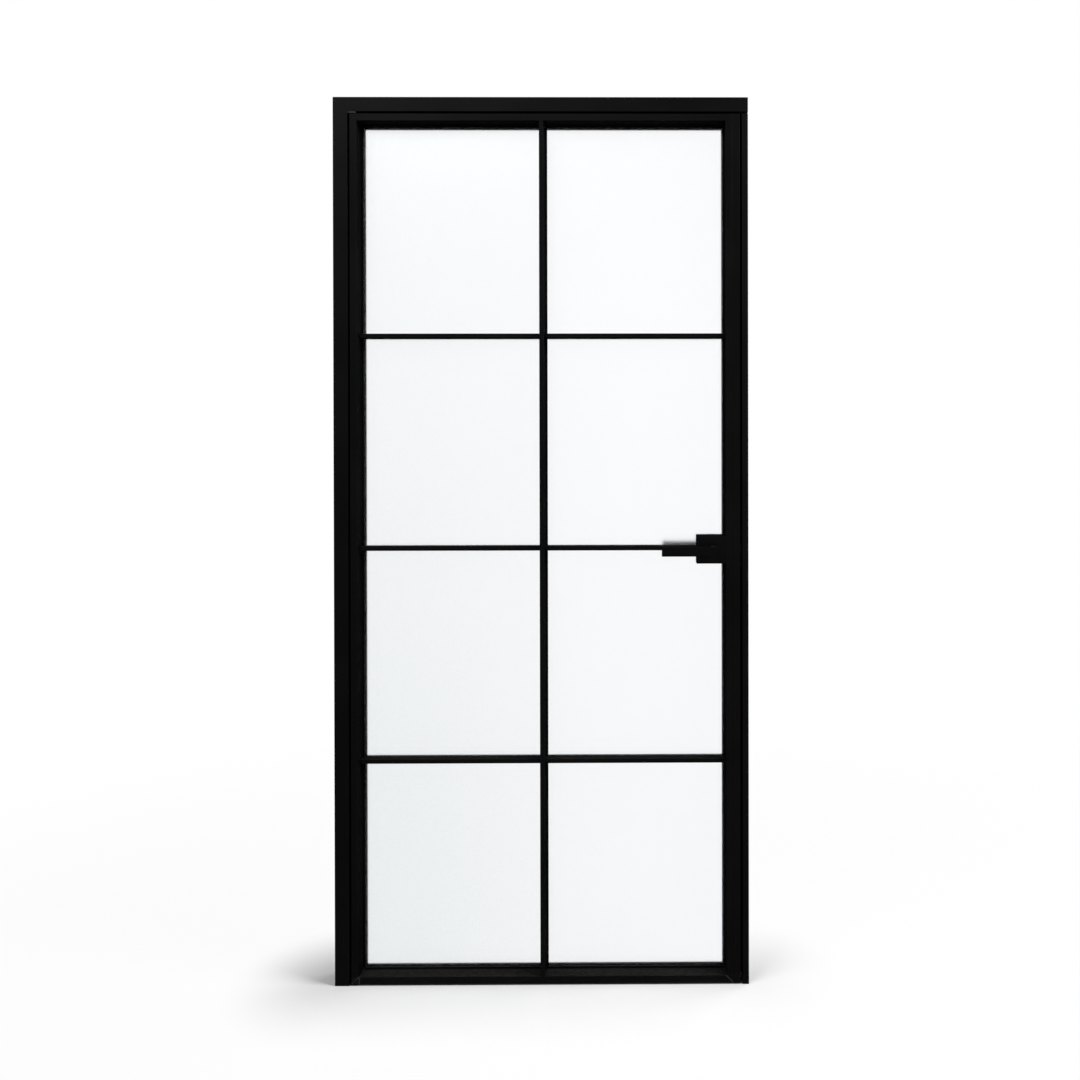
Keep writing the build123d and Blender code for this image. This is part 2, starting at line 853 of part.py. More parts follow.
pane_edge = bar_web / 2 + web_to_pane
column_spans = {
    "left": (field_left + rail_to_pane, mullion_x - pane_edge),
    "right": (mullion_x + pane_edge, field_right - rail_to_pane),
}
notch_x = lock_left + lock_step - web_to_pane
notch_half = lock_box_height / 2 - lock_step + web_to_pane


def row_span(row):
    """Lowest and highest edge of the panes in a row, counted from the floor."""
    low = field_bottom + row_height * row
    high = low + row_height
    low += rail_to_pane if row == 0 else pane_edge
    high -= rail_to_pane if row == rows - 1 else pane_edge
    return low, high


def meets_lock(column, row):
    low, high = row_span(row)
    return column == "right" and low < lock_z + notch_half and high > lock_z - notch_half


def pane(column, row):
    """A pane of satin laminated glass, notched at the lock box where it meets it."""
    sheet = span_box(column_spans[column], (glass_front, glass_back), row_span(row))
    if meets_lock(column, row):
        sheet -= span_box(
            (notch_x, field_right),
            (glass_front - 1, glass_back + 1),
            (lock_z - notch_half, lock_z + notch_half),
        )
    return sheet


def tape_strips(column, row):
    """Strips round one pane as pairs of X and Z spans, butted at the corners."""
    left, right = column_spans[column]
    low, high = row_span(row)
    uprights = [((left, left + tape_width), (low, high))]
    inner_left = left + tape_width
    if not meets_lock(column, row):
        uprights.append(((right - tape_width, right), (low, high)))
        level = (inner_left, right - tape_width)
        return uprights + [(level, (low, low + tape_width)), (level, (high - tape_width, high))]
    below = high < lock_bar_z
    step = lock_z - notch_half if below else lock_z + notch_half
    outer = (low, step) if below else (step, high)
    shelf = (step - tape_width, step) if below else (step, step + tape_width)
    notch = (step, high) if below else (low, step)
    far = (low, low + tape_width) if below else (high - tape_width, high)
    near = (high - tape_width, high) if below else (low, low + tape_width)
    uprights.append(((right - tape_width, right), outer))
    uprights.append(((notch_x - tape_width, notch_x), notch))
    return uprights + [
        ((inner_left, right - tape_width), far),
        ((notch_x - tape_width, right - tape_width), shelf),
        ((inner_left, notch_x - tape_width), near),
    ]


def glazing_tape():
    """All the tape in front of the glass and behind it."""
    return group([
        span_box(x, depth, z)
        for depth in ((fin_back, glass_front), (glass_back, bead_front))
        for column in column_spans
        for row in range(rows)
        for x, z in tape_strips(column, row)
    ])


# Lock box

half_lock = lock_box_height / 2
post_size = 9.0
post_from_wall = 4.0
post_inset = lock_step + lock_box_wall + post_from_wall
cover_bevel = 0.6
cover_screw_length = 14.0


def lock_span(inset):
    """Height of the lock box, less an inset at the top and at the bottom."""
    return lock_z - half_lock + inset, lock_z + half_lock - inset


def cover_screw_places():
    """The four corners of the rear cover."""
    return [
        (x, cover_back, z)
        for x in (lock_left + post_inset, field_right - post_inset)
        for z in lock_span(post_inset)
    ]


def hub_hole(radius):
    return facing(rod(radius, -leaf_depth, leaf_depth), (hub_x, 0, lock_z), BACK)


def lock_box():
    """Folded steel box on the lock stile: open at the back, stepped for the panes' edges."""
    step_back = fin_back - lock_box_wall
    inner = lock_step + lock_box_wall
    right_wall = field_right - lock_box_wall
    box = span_box((lock_left, field_right), (leaf_front, fin_back), lock_span(0))
    box += span_box(
        (lock_left + lock_step, field_right), (step_back, bead_front), lock_span(lock_step)
    )
    box -= span_box(
        (lock_left + lock_box_wall, right_wall),
        (leaf_front + lock_front_wall, step_back),
        lock_span(lock_box_wall),
    )
    box -= span_box((lock_left + inner, right_wall), (step_back - 1, bead_front + 1), lock_span(inner))
    for x, _, z in cover_screw_places():
        half = post_size / 2
        post_x = (x - half, x + half)
        post_y = (rear_cover_inside - cover_screw_length, rear_cover_inside)
        box += span_box(post_x, post_y, (z - half, z + half))
    box -= [facing(screw_cut(cover_screw_length + 2), p, BACK) for p in cover_screw_places()]
    box -= hub_hole(hub_journal_radius + bush_wall)
    return box - latch_tunnel(snug)


def front_cover():
    """Plate on the front of the lock box, standing a little proud of the leaf."""
    plate = span_box((lock_left, field_right), (cover_front, leaf_front), lock_span(0))
    plate = chamfer(plate.faces().sort_by(Axis.Y)[0].outer_wire().edges(), cover_bevel)
    return plate - hub_hole(hub_journal_radius + bush_wall)


def rear_cover():
    """Tray that closes the lock box behind the glass, standing as proud as the front cover."""
    rim = lock_step + rear_cover_seat
    tray = span_box((lock_left, field_right), (bead_front, cover_back), lock_span(0))
    tray = chamfer(tray.faces().sort_by(Axis.Y)[-1].outer_wire().edges(), cover_bevel)
    tray -= span_box(
        (lock_left + rim, field_right - lock_box_wall), (bead_front - 1, rear_cover_inside), lock_span(rim)
    )
    tray -= hub_hole(hub_journal_radius + bush_wall)
    return tray - [facing(screw_cut(cover_screw_length), p, BACK) for p in cover_screw_places()]


def lock_screws():
    """Countersunk screws of the rear cover and of the forend."""
    cover = [facing(screw(cover_screw_length), p, BACK) for p in cover_screw_places()]
    edge = [facing(screw(forend_screw_length), p, RIGHT) for p in forend_screw_places()]
    return group(cover + edge)


bush_flange = 1.5


def hub_bush(length):
    """Nylon bush round a journal, with a flange at its inner end."""
    bush = rod(hub_journal_radius + bush_wall - snug / 10, 0, length)
    bush += rod(hub_journal_radius + bush_wall + bush_flange, length, length + bush_flange)
    return bush - rod(hub_journal_radius + pivot_clearance, -1, length + bush_flange + 1)


def lever_bushes():
    front = facing(hub_bush(cover_proud + lock_front_wall), (hub_x, cover_front, lock_z), BACK)
    rear = facing(hub_bush(rear_cover_thickness), (hub_x, cover_back, lock_z), FRONT)
    return group([front, rear])


def follower():
    """Hub on the spindle: two journals, a collar and the finger that draws the latch back."""
    half_finger = (finger_width / 2, finger_depth / 2)
    half_bore = spindle_size / 2 + pivot_clearance
    hub = rod(hub_journal_radius, cover_front + turning_gap, cover_back - turning_gap)
    hub += rod(hub_collar_radius, -hub_collar_length / 2, hub_collar_length / 2)
    hub = facing(hub, (hub_x, 0, lock_z), BACK)
    hub += span_box(
        (hub_x - half_finger[0], hub_x + half_finger[0]),
        (-half_finger[1], half_finger[1]),
        (lock_z + hub_journal_radius, lock_z + finger_reach),
    )
    return hub - span_box(
        (hub_x - half_bore, hub_x + half_bore),
        (-leaf_depth, leaf_depth),
        (lock_z - half_bore, lock_z + half_bore),
    )


# Latch

latch_tip = leaf_right + latch_throw
latch_to_collar = 1.5
tail_past_hub = 15.0
slot_slack_left = 1.0
slot_slack_right = 2.3
bevel_tip = 3.0
bevel_start = leaf_right + 1.0
latch_back = hub_x + hub_collar_radius + latch_throw + latch_to_collar
tail_end = hub_x - tail_past_hub
slot_left = hub_x - finger_width / 2 - slot_slack_left
slot_right = hub_x + finger_width / 2 + slot_slack_right
spring_pin_length = 9.0
spring_seat_x = lock_left + lock_box_wall
tail_middle = lock_z + (latch_tail_low + latch_tail_high) / 2


def latch_bolt():
    """Bevelled bolt with a tail over the hub, slotted for the follower's finger."""
    half_depth = latch_depth / 2
    bolt_z = (lock_z - latch_height / 2, lock_z + latch_height / 2)
    bolt = span_box((latch_back, latch_tip), (-half_depth, half_depth), bolt_z)
    bevel = Polyline(
        (bevel_start, half_depth), (latch_tip + 1, half_depth + 1),
        (latch_tip + 1, bevel_tip - half_depth), (latch_tip, bevel_tip - half_depth),
        close=True,
    )
    bolt -= Pos(0, 0, lock_z - latch_height) * extrude(make_face(bevel), latch_height * 2)
    half_tail = finger_depth / 2
    shoulder_right = field_right - lock_box_wall - turning_gap
    arm = span_box(
        (latch_back, shoulder_right), (-half_tail, half_tail), (lock_z, lock_z + latch_tail_high)
    )
    tail = span_box(
        (tail_end, shoulder_right), (-half_tail, half_tail),
        (lock_z + latch_tail_low, lock_z + latch_tail_high),
    )
    slot = span_box(
        (slot_left, slot_right), (-half_tail - 1, half_tail + 1),
        (lock_z + latch_tail_low - 1, lock_z + finger_reach + 1),
    )
    pin = rod(spring_radius - 2 * spring_wire, 0, spring_pin_length)
    pin = facing(pin, (tail_end, 0, tail_middle), LEFT)
    return bolt + arm + tail + pin - slot


def latch_sleeve():
    """Steel guide sleeve of the bolt, from the lock box to the forend."""
    grow = latch_clearance
    outer = latch_tunnel(0)
    inner = span_box(
        (field_right - lock_box_wall - 2, leaf_right + 2),
        (-latch_depth / 2 - grow, latch_depth / 2 + grow),
        (lock_z - latch_height / 2 - grow, lock_z + latch_height / 2 + grow),
    )
    keep = span_box(
        (field_right - lock_box_wall, leaf_right),
        (-leaf_depth, leaf_depth),
        (lock_z - leaf_depth, lock_z + leaf_depth),
    )
    return (outer & keep) - inner


def latch_spring():
    """Compression spring between the lock box's wall and the latch's tail."""
    length = tail_end - spring_seat_x - spring_wire - 2 * turning_gap
    start = (spring_seat_x + spring_wire / 2 + turning_gap, 0, tail_middle)
    path = Helix(pitch=length / spring_turns, height=length, radius=spring_radius - spring_wire / 2)
    path = facing(path, start, RIGHT)
    wire = Plane(origin=path @ 0, z_dir=path % 0) * Circle(spring_wire / 2)
    return sweep(wire, path=path, is_frenet=True)


forend_screw_length = 10.0
strike_screw_length = 10.0
edge_screw_inset = 12.0
edge_plate_corner = 4.0


def forend_screw_places():
    """Two screws on the leaf's edge, above and below the latch."""
    x = leaf_right + forend_thickness
    reach = forend_length / 2 - edge_screw_inset
    return [(x, 0, lock_z + side * reach) for side in (-1, 1)]


def strike_screw_places():
    x = frame_right - strike_face - strike_thickness
    reach = strike_length / 2 - edge_screw_inset
    return [(x, 0, lock_z + side * reach) for side in (-1, 1)]


def edge_plate(x, depth, length, opening_grow):
    """Upright plate with rounded ends and a mouth for the latch."""
    plate = span_box(x, (-depth / 2, depth / 2), (lock_z - length / 2, lock_z + length / 2))
    plate = fillet(plate.edges().filter_by(Axis.X), edge_plate_corner)
    return plate - span_box(
        (x[0] - 1, x[1] + 1),
        (-latch_depth / 2 - opening_grow, latch_depth / 2 + opening_grow),
        (lock_z - latch_height / 2 - opening_grow, lock_z + latch_height / 2 + opening_grow),
    )


def forend():
    x = (leaf_right, leaf_right + forend_thickness)
    plate = edge_plate(x, forend_depth, forend_length, latch_clearance)
    return plate - [facing(screw_cut(forend_screw_length), p, RIGHT) for p in forend_screw_places()]


def strike_plate():
    x = (frame_right - strike_face - strike_thickness, frame_right - strike_face)
    plate = edge_plate(x, strike_depth, strike_length, latch_clearance * 3)
    return plate - [facing(screw_cut(strike_screw_length), p, LEFT) for p in strike_screw_places()]


# Levers

grip_inner = neck_length + turning_gap
grub_radius = 2.0
grub_from_plate = 10.0
spindle_in_neck = 26.0
spigot_radius = 5.0
spigot_length = 5.0
grub_below_neck = 0.6
grub_socket_radius = 1.0
grub_socket_depth = 1.4
spindle_end_gap = 1.0
spindle_bevel = 0.8


def neck():
    """Turned neck from the lock plate to the grip, made along local Z from the plate out."""
    half_bore = spindle_size / 2 + pivot_clearance
    turned = rod(neck_radius, turning_gap, grip_inner)
    turned += rod(spigot_radius, grip_inner, grip_inner + spigot_length)
    bore = span_box((-half_bore, half_bore), (-half_bore, half_bore), (0, spindle_in_neck))
    grub = facing(rod(grub_radius, 0, neck_radius + 1), (0, 0, grub_from_plate), FRONT)
    return turned - bore - grub


def grip():
    """Flat bar grip, made along local -X with the neck's spigot in its back."""
    length = (-grip_length + grip_past_neck, grip_past_neck)
    bar = span_box(length, (-grip_height / 2, grip_height / 2), (grip_inner, grip_inner + grip_thickness))
    bar = fillet(bar.edges(), grip_edge_radius)
    return bar - rod(spigot_radius + pivot_clearance, grip_inner - 1, grip_inner + spigot_length + snug)


def grub_screw():
    """Set screw in the neck, bearing on a flat of the spindle."""
    inner = spindle_size / 2 + pivot_clearance * 2
    outer = neck_radius - grub_below_neck
    grub = rod(grub_radius - screw_clearance / 2, inner, outer)
    grub -= Pos(0, 0, outer - grub_socket_depth) * extrude(RegularPolygon(grub_socket_radius, 6), outer)
    return facing(grub, (0, 0, grub_from_plate), FRONT)


def in_front(shape):
    """Places a lever piece on the front cover, its grip to the left."""
    return placed(shape, (hub_x, cover_front, lock_z), RIGHT, FRONT)


def behind(shape):
    """Places a lever piece on the rear cover, its grip to the left seen from the front."""
    mirrored = shape.mirror(Plane.YZ)
    return placed(mirrored, (hub_x, cover_back, lock_z), LEFT, BACK)


def front_neck():
    return in_front(neck())


def rear_neck():
    return behind(neck())


def front_grip():
    return in_front(grip())


def rear_grip():
    return behind(grip())


def grub_screws():
    return group([in_front(grub_screw()), behind(grub_screw())])


def spindle():
    """Square bar through the follower into both necks."""
    half = spindle_size / 2
    reach = spindle_in_neck - spindle_end_gap
    bar = span_box(
        (hub_x - half, hub_x + half),
        (cover_front - reach, cover_back + reach),
        (lock_z - half, lock_z + half),
    )
    return chamfer(bar.faces().filter_by(Axis.Y).edges(), spindle_bevel)


# Nodes

nodes = {
    "hinge_jamb": hinge_jamb(),
    "head": head(),
    "head_end_plate": head_end_plate(),
    "strike_jamb": strike_jamb(),
    "strike_jamb_connector": strike_jamb_connector(),
    "connector_screws": connector_screws(),
    "frame_corner_cleat": frame_corner_cleat(),
    "hinge_stop": hinge_stop(),
    "head_stop": head_stop(),
    "strike_stop": strike_stop(),
    "side_seals": side_seals(),
    "head_seal": head_seal(),
    "top_pivot_plate": top_pivot_plate(),
    "floor_bracket": floor_bracket(),
    "pivot_pins": pivot_pins(),
    "strike_plate": strike_plate(),
    "frame_screws": frame_screws(),
    "hinge_stile": hinge_stile(),
    "lock_stile": lock_stile(),
    "top_rail": top_rail(),
    "bottom_rail": bottom_rail(),
    "edge_strip": edge_strip(),
    "edge_strip_caps": edge_strip_caps(),
    "leaf_corner_cleats": leaf_corner_cleats(),
    "pivot_blocks": pivot_blocks(),
    "pivot_bushes": pivot_bushes(),
    "bottom_brush": bottom_brush(),
    "mullion": mullion(),
    "left_transoms": left_transoms(),
    "right_transoms": right_transoms(),
    "lock_transom": lock_transom(),
    "bar_caps": bar_caps(),
    "side_beads": side_beads(),
    "rail_beads": rail_beads(),
    "glazing_tape": glazing_tape(),
    "lock_box": lock_box(),
    "front_cover": front_cover(),
    "rear_cover": rear_cover(),
    "lock_screws": lock_screws(),
    "lever_bushes": lever_bushes(),
    "latch_sleeve": latch_sleeve(),
    "forend": forend(),
    "latch_bolt": latch_bolt(),
    "latch_spring": latch_spring(),
    "follower": follower(),
    "spindle": spindle(),
    "front_neck": front_neck(),
    "rear_neck": rear_neck(),
    "front_grip": front_grip(),
    "rear_grip": rear_grip(),
    "grub_screws": grub_screws(),
}
for column in column_spans:
    for row in range(rows):
        nodes[f"pane_{column}_{row + 1}"] = pane(column, row)

os.makedirs("parts", exist_ok=True)
for name, shape in nodes.items():
    export_step(shape, f"parts/{name}.step")
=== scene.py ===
import math
import random

import bpy
from mathutils import Euler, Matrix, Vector


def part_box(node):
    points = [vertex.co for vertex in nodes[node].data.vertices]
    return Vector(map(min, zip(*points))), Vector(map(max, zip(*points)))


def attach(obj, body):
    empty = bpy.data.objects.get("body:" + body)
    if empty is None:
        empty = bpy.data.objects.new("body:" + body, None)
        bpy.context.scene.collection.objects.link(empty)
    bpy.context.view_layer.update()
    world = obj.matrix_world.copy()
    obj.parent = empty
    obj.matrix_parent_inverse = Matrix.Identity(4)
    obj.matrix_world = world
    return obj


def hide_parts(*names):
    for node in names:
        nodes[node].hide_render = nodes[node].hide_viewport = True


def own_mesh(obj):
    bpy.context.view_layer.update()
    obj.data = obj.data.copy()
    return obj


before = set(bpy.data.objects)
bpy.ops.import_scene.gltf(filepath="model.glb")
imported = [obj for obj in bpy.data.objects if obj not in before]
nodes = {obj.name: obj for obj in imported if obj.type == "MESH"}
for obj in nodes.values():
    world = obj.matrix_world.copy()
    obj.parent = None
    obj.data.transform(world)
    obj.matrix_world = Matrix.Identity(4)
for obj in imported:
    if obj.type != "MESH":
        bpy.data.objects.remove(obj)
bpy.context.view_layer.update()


# Outer frame
# Square steel tube, mitred and glued over cast angles at the top left, with a narrow post
# on the lock side. All of it is blasted and coated with a fine black satin powder.

class Reading:
    """One number or colour of a finish, so that what varies is written as plain sums."""

    def __init__(self, finish, socket):
        self.finish = finish
        self.socket = socket

    def sum_with(self, operation, first, second=None):
        sockets = {0: first} if second is None else {0: first, 1: second}
        return self.finish.node("ShaderNodeMath", {"operation": operation}, sockets)

    def __add__(self, other):
        return self.sum_with("ADD", self, other)

    def __radd__(self, other):
        return self.sum_with("ADD", other, self)

    def __sub__(self, other):
        return self.sum_with("SUBTRACT", self, other)

    def __rsub__(self, other):
        return self.sum_with("SUBTRACT", other, self)

    def __mul__(self, other):
        return self.sum_with("MULTIPLY", self, other)

    def __rmul__(self, other):
        return self.sum_with("MULTIPLY", other, self)

    def __pow__(self, other):
        return self.sum_with("POWER", self, other)

    def __abs__(self):
        return self.sum_with("ABSOLUTE", self)

    def larger(self, other):
        return self.sum_with("MAXIMUM", self, other)

    def rise(self, start, end):
        """0 below start and 1 above end, with a soft step between. End may lie below start."""
        return self.finish.node(
            "ShaderNodeMapRange",
            {"interpolation_type": "SMOOTHSTEP"},
            {"Value": self, "From Min": start, "From Max": end},
        )


class Finish:
    """A material, or the room round the door, that is put together from nodes."""

    sharpness = (0.02, 0.16)
    shine_colour = (0.9, 0.9, 0.92, 1)

    def __init__(self, name, store=bpy.data.materials, end="ShaderNodeOutputMaterial"):
        self.material = store.new(name)
        self.material.use_nodes = True
        self.tree = self.material.node_tree
        self.tree.nodes.clear()
        self.sheet = self.tree.nodes.new(end)

    def node(self, kind, settings=None, sockets=None, output=0):
        """Adds a node: its settings first, then the values or links of its sockets."""
        made = self.tree.nodes.new(kind)
        for name, value in (settings or {}).items():
            setattr(made, name, value)
        for name, value in (sockets or {}).items():
            if isinstance(value, Reading):
                self.tree.links.new(value.socket, made.inputs[name])
            else:
                made.inputs[name].default_value = value
        return Reading(self, made.outputs[output])

    def place(self):
        """Where a point lies on the closed door, in metres, as three readings."""
        point = self.node("ShaderNodeTexCoord", output=3)
        return [self.node("ShaderNodeSeparateXYZ", sockets={0: point}, output=i) for i in range(3)]

    def facing(self):
        """Which way the surface faces on the closed door, as three readings."""
        normal = self.node("ShaderNodeTexCoord", output=1)
        return [self.node("ShaderNodeSeparateXYZ", sockets={0: normal}, output=i) for i in range(3)]

    def grain(self, per_metre, detail=2.0, stretch=(1, 1, 1), seed=0.0):
        """Cloudy noise between 0 and 1, with its grain counted per metre."""
        point = self.node("ShaderNodeTexCoord", output=3)
        moved = self.node(
            "ShaderNodeMapping", sockets={"Vector": point, "Scale": stretch, "Location": (seed, seed, seed)}
        )
        return self.node(
            "ShaderNodeTexNoise", sockets={"Vector": moved, "Scale": per_metre, "Detail": detail}
        )

    def mixed(self, share, first, second):
        """Two colours mixed: a share of 1 is all of the second."""
        return self.node(
            "ShaderNodeMix", {"data_type": "RGBA"}, {0: share, 6: first, 7: second}, output=2
        )

    def bump(self, height, strength, distance):
        return self.node(
            "ShaderNodeBump", sockets={"Height": height, "Strength": strength, "Distance": distance}
        )

    def edge(self, radius):
        """1 on corners that hands and cloths rub, 0 on flat faces."""
        rounded = self.node("ShaderNodeBevel", {"samples": 4}, {"Radius": radius})
        unrounded = self.node("ShaderNodeNewGeometry", output=1)
        match = self.node(
            "ShaderNodeVectorMath", {"operation": "DOT_PRODUCT"}, {0: rounded, 1: unrounded}, output=1
        )
        return (1 - match).rise(*self.sharpness)

    def shader(self, **sockets):
        named = {name.replace("_", " "): value for name, value in sockets.items()}
        return self.node("ShaderNodeBsdfPrincipled", sockets=named)

    def close(self, shader):
        """Ends the finish in the shader that is given."""
        self.tree.links.new(shader.socket, self.sheet.inputs["Surface"])
        return self.material

    def matt(self, share, colour, roughness, normal):
        """A skin of matt powder, of which a small share shines evenly, even at a glancing angle."""
        body = self.shader(Base_Color=colour, Roughness=roughness, Specular_IOR_Level=0.0, Normal=normal)
        shine = self.shader(Base_Color=self.shine_colour, Metallic=1.0, Roughness=roughness, Normal=normal)
        return self.close(self.node("ShaderNodeMixShader", sockets={0: share, 1: body, 2: shine}))


def wear(names, material):
    """Gives CAD nodes a finish."""
    for name in names:
        node = nodes[name]
        node.data.materials.clear()
        node.data.materials.append(material)


coat_dark = (0.0015, 0.0015, 0.0016, 1)
coat_pale = (0.0030, 0.0029, 0.0030, 1)
coat_rubbed = (0.010, 0.010, 0.010, 1)
dust_and_light_colour = (0.070, 0.068, 0.064, 1)
coat_shine = 0.0020
sand_per_metre = 900.0
sand_depth = 0.00006
rubbed_corner = 0.0006


def powder_coat(name, dust=None, seed=0.0, roughness=0.40):
    """Black powder: a fine sandy skin, a little paler on corners, with the pale marks it is given: dust
    where it settles, and on the leaf and bars painted light on ledges too.
    """
    coat = Finish(name)
    cloud = coat.grain(5.0, 3.0, seed=seed)
    sand = coat.grain(sand_per_metre, 3.0, seed=seed)
    rubbed = coat.edge(rubbed_corner) * coat.grain(60.0, 2.0, seed=seed).rise(0.38, 0.62)
    colour = coat.mixed(cloud.rise(0.35, 0.65) * 0.6 + sand * 0.4, coat_dark, coat_pale)
    colour = coat.mixed(rubbed * 0.30, colour, coat_rubbed)
    rough = roughness + (cloud - 0.5) * 0.10 + (sand - 0.5) * 0.08 - rubbed * 0.06
    if dust:
        dust_and_light_share = dust(coat)
        colour = coat.mixed(dust_and_light_share, colour, dust_and_light_colour)
        rough = rough + dust_and_light_share * 0.4
    return coat.matt(coat_shine, colour, rough, coat.bump(sand, 0.35, sand_depth))


looks_up = (0.6, 0.9)
frame_film_height = (0.08, 0.0)
film_share = 0.012


def frame_dust(coat):
    """A thin film near the floor, and more of it on faces that look up."""
    film = coat.grain(160.0, 4.0).rise(0.50, 0.75) * coat.place()[2].rise(*frame_film_height) * film_share
    return film.larger(coat.facing()[2].rise(*looks_up) * coat.grain(90.0, 3.0) * 0.25)


frame_coat = powder_coat("frame_powder_coat", frame_dust)
wear(["hinge_jamb", "head", "head_end_plate", "strike_jamb"], frame_coat)


# Corner joints of the frame
# A cast aluminium angle inside the mitre, and the cast block and zinc-plated pan-head screws
# that carry the lock-side post under the head. All of it is bare, out of sight in the tubes.

lumps_per_metre = 220.0
lump_depth = 0.0002


def toned(colour, share):
    """A colour at a share of its strength."""
    return tuple(part * share for part in colour[:3]) + (1,)


def cast_metal(name, colour, roughness):
    """Metal as cast, with the lumps and the fine skin of the mould."""
    metal = Finish(name)
    lumps = metal.grain(lumps_per_metre, 4.0)
    skin = metal.grain(1500.0, 2.0)
    return metal.close(metal.shader(
        Base_Color=metal.mixed(lumps.rise(0.3, 0.7), toned(colour, 0.86), colour),
        Metallic=1.0,
        Roughness=roughness + (lumps - 0.5) * 0.2,
        Normal=metal.bump(lumps * 0.7 + skin * 0.3, 0.5, lump_depth),
    ))


cast_aluminium = cast_metal("cast_aluminium", (0.56, 0.57, 0.58, 1), 0.48)
wear(["frame_corner_cleat", "strike_jamb_connector"], cast_aluminium)


drawn_lines_per_metre = 700.0
drawn_line_depth = 0.00005


def plated_steel(name, colour, roughness, brushing=(1, 1, 1)):
    """Rolled or turned steel, zinc plated or blackened, with fine drawn lines."""
    steel = Finish(name)
    lines = steel.grain(drawn_lines_per_metre, 3.0, stretch=brushing)
    cloud = steel.grain(40.0, 3.0)
    tone = steel.mixed(cloud.rise(0.35, 0.65), toned(colour, 0.8), colour)
    return steel.close(steel.shader(
        Base_Color=steel.mixed(lines.rise(0.45, 0.7) * 0.25, tone, toned(colour, 0.6)),
        Metallic=1.0,
        Roughness=roughness + (lines - 0.5) * 0.16 + (cloud - 0.5) * 0.10,
        Normal=steel.bump(lines, 0.25, drawn_line_depth),
    ))


zinc_steel = plated_steel("zinc_plated_steel", (0.50, 0.51, 0.50, 1), 0.34)
wear(["connector_screws"], zinc_steel)


# Door stops and seals
# Slotted tube that is glued behind the leaf on three sides, in the frame's own coat, and an
# extruded rubber lip that is pushed into its slot.

wear(["hinge_stop", "head_stop", "strike_stop"], powder_coat("stop_powder_coat", frame_dust, seed=3.0))


pores_per_metre = 1100.0
pore_depth = 0.00008


def rubber(name, colour, roughness):
    """Rubber or dull plastic, with a faint bloom and fine pores."""
    skin = Finish(name)
    bloom = skin.grain(30.0, 3.0)
    pores = skin.grain(pores_per_metre, 2.0)
    return skin.close(skin.shader(
        Base_Color=skin.mixed(bloom.rise(0.4, 0.7) * 0.5, colour, toned(colour, 2.0)),
        Roughness=roughness + (bloom - 0.5) * 0.12,
        Specular_IOR_Level=0.25,
        Normal=skin.bump(pores, 0.3, pore_depth),
    ))


seal_rubber = rubber("black_rubber", (0.012, 0.012, 0.012, 1), 0.62)
wear(["side_seals", "head_seal"], seal_rubber)


# Pivots
# Two darkened steel plates on the frame, each with a hardened pin that stands in a nylon bush
# in the leaf. The upper plate's edge shines in the gap at the top left corner.

plate_steel = plated_steel("darkened_pivot_steel", (0.021, 0.021, 0.0205, 1), 0.34, brushing=(1, 8, 8))
wear(["top_pivot_plate", "floor_bracket", "pivot_pins"], plate_steel)
black_nylon = rubber("black_nylon", (0.016, 0.016, 0.017, 1), 0.42)
wear(["pivot_bushes"], black_nylon)


# Leaf frame
# Steel tubes with a fin for the glass, mitred over cast angles at the corners, and a closing tube on the
# lock side. Dust lies on the bottom rail, with painted light from above on its ledge, and a pale line runs
# in both lower mitres.

leaf_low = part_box("hinge_stile")[0]
rail_low, rail_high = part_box("bottom_rail")
mitre_corners = ((rail_low.x, 1), (rail_high.x, -1))
mitre_line_edge = (0.0020, 0.0007)
mitre_line_end = (0.026, 0.020)
low_ledge = (0.060, 0.024)
rail_foot = (0.034, 0.018)
leaf_film_height = (0.10, 0.0)
patch_width = (0.021, 0.016)
patch_height = (0.022, 0.012)
pale_line_inset = 0.0190
pale_line_width = (0.0018, 0.0006)
pale_line_height = (0.023, 0.019)
looks_forward = (-0.4, -0.8)


def corner_lines(coat, x, z):
    """A pale line in each of the two lower mitres, from the corner to the glass."""
    lines = None
    for corner, side in mitre_corners:
        inward = (x - corner) * side
        across = abs(inward - (z - leaf_low.z))
        patchy = coat.grain(300.0).rise(0.25, 0.55)
        line = across.rise(*mitre_line_edge) * inward.rise(*mitre_line_end) * patchy
        lines = line if lines is None else lines.larger(line)
    return lines


def leaf_dust_and_light(coat):
    """Dust with painted light from above on ledges, specks on the bottom rail, pale mitres, and a pale spot
    and upright line at the lower left.
    """
    x, _, z = coat.place()
    low = z.rise(*low_ledge) * coat.grain(260.0, 3.0).rise(0.3, 0.7)
    # Painted light: faces that look up, such as the bottom rail's ledge, are paler, partly dust and partly
    # light from above.
    ledge = coat.facing()[2].rise(*looks_up) * (coat.grain(140.0, 4.0) * 0.07 + low * 0.11)
    speck = coat.grain(520.0, 2.0, seed=5.0).rise(0.60, 0.70) * z.rise(*rail_foot) * 0.30
    film = coat.grain(120.0, 4.0).rise(0.40, 0.75) * z.rise(*leaf_film_height) * film_share
    corner = (x - leaf_low.x).rise(*patch_width) * z.rise(*patch_height)
    patch = corner * coat.grain(330.0, 3.0, seed=2.0).rise(0.35, 0.6) * 0.12
    # A pale upright line near the lower left corner of the leaf.
    edge = abs(x - leaf_low.x - pale_line_inset).rise(*pale_line_width) * z.rise(*pale_line_height)
    patch = patch.larger(edge * coat.grain(300.0, seed=4.0).rise(0.25, 0.5) * 0.50)
    front = coat.facing()[1].rise(*looks_forward)
    lines = corner_lines(coat, x, z) * 0.52
    return ledge.larger(speck * front).larger(film).larger(patch * front).larger(lines * front)


leaf_coat = powder_coat("leaf_powder_coat", leaf_dust_and_light, seed=7.0, roughness=0.38)
wear(["hinge_stile", "lock_stile", "top_rail", "bottom_rail", "edge_strip"], leaf_coat)
wear(["leaf_corner_cleats", "pivot_blocks"], cast_aluminium)
wear(["edge_strip_caps"], rubber("black_cap_plastic", (0.014, 0.014, 0.014, 1), 0.5))


